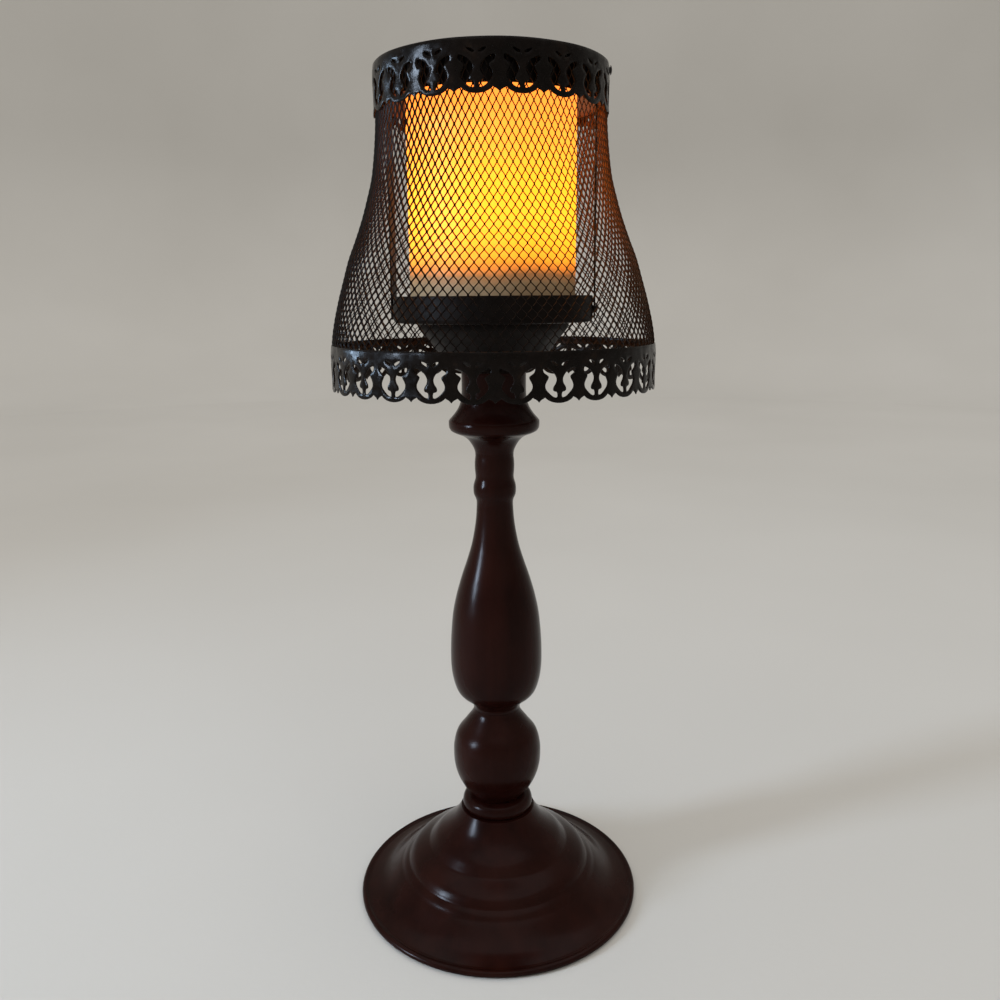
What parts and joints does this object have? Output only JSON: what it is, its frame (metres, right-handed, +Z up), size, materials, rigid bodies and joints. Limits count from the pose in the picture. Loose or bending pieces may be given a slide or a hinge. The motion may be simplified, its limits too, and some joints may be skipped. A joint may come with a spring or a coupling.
{
  "type": "candle lamp",
  "caption": "Turned table lamp that holds a battery pillar candle in a pan, under a bell-shaped mesh shade with pierced bands.",
  "frame": {"origin": "centre of the foot's underside, on the surface the lamp stands on", "axes": "+Z up along the column; -Y is the front, with one motif of each pierced band centred on it; the straps lie along X"},
  "size_m": [0.1498, 0.1498, 0.402],
  "materials": {
    "lacquer": "glossy dark red-brown lacquer on spun metal",
    "lacquered_wood": "glossy dark red-brown lacquer on turned hardwood",
    "dark_metal": "semi-gloss black bronze",
    "steel": "zinc plated",
    "iron": "rough cast",
    "felt": "felt",
    "wax": "ivory wax, lit from inside",
    "plastic": "moulded",
    "black_plastic": "moulded",
    "cell": "printed sleeve, plain",
    "board": "solder mask",
    "diode": "clear, lit"
  },
  "bodies": {
    "stand": {"foot_shell": "lacquer", "foot_weight": "iron", "foot_cover_plate": "steel", "felt_pad": "felt", "column_collar": "lacquered_wood", "ball_knop": "lacquered_wood", "vase_baluster": "lacquered_wood", "beaded_neck": "lacquered_wood", "capital": "lacquered_wood", "pan_bowl": "dark_metal", "candle_pan": "dark_metal", "tie_rod": "steel", "lower_washer": "steel", "lower_nut": "steel", "upper_washer": "steel", "upper_nut": "steel", "shade_bottom_band": "dark_metal", "shade_top_band": "dark_metal", "shade_mesh": "dark_metal", "support_ring": "dark_metal", "strap_right": "dark_metal", "strap_left": "dark_metal", "pan_rivet_right": "dark_metal", "pan_rivet_left": "dark_metal", "shade_rivet_right": "dark_metal", "shade_rivet_left": "dark_metal"},
    "candle": {"candle_wax": "wax", "candle_housing": "plastic", "battery_left": "cell", "battery_right": "cell", "upper_contact_left": "steel", "upper_contact_right": "steel", "circuit_board": "board", "light_diode": "diode", "switch_body": "black_plastic"},
    "battery_door": {"battery_door": "plastic", "door_contact": "steel"},
    "switch": {"switch_slider": "black_plastic"}
  },
  "joints": [
    {"name": "candle_lift", "type": "slide", "parent": "stand", "child": "candle", "axis": [0, 0, 1], "range_m": [0, 0.11]},
    {"name": "battery_door_turn", "type": "hinge", "parent": "candle", "child": "battery_door", "pos_m": [0, 0, 0.2963], "axis": [0, 0, 1], "range_deg": [0, 90]},
    {"name": "switch_slide", "type": "slide", "parent": "candle", "child": "switch", "axis": [1, 0, 0], "range_m": [-0.004, 0]}
  ]
}
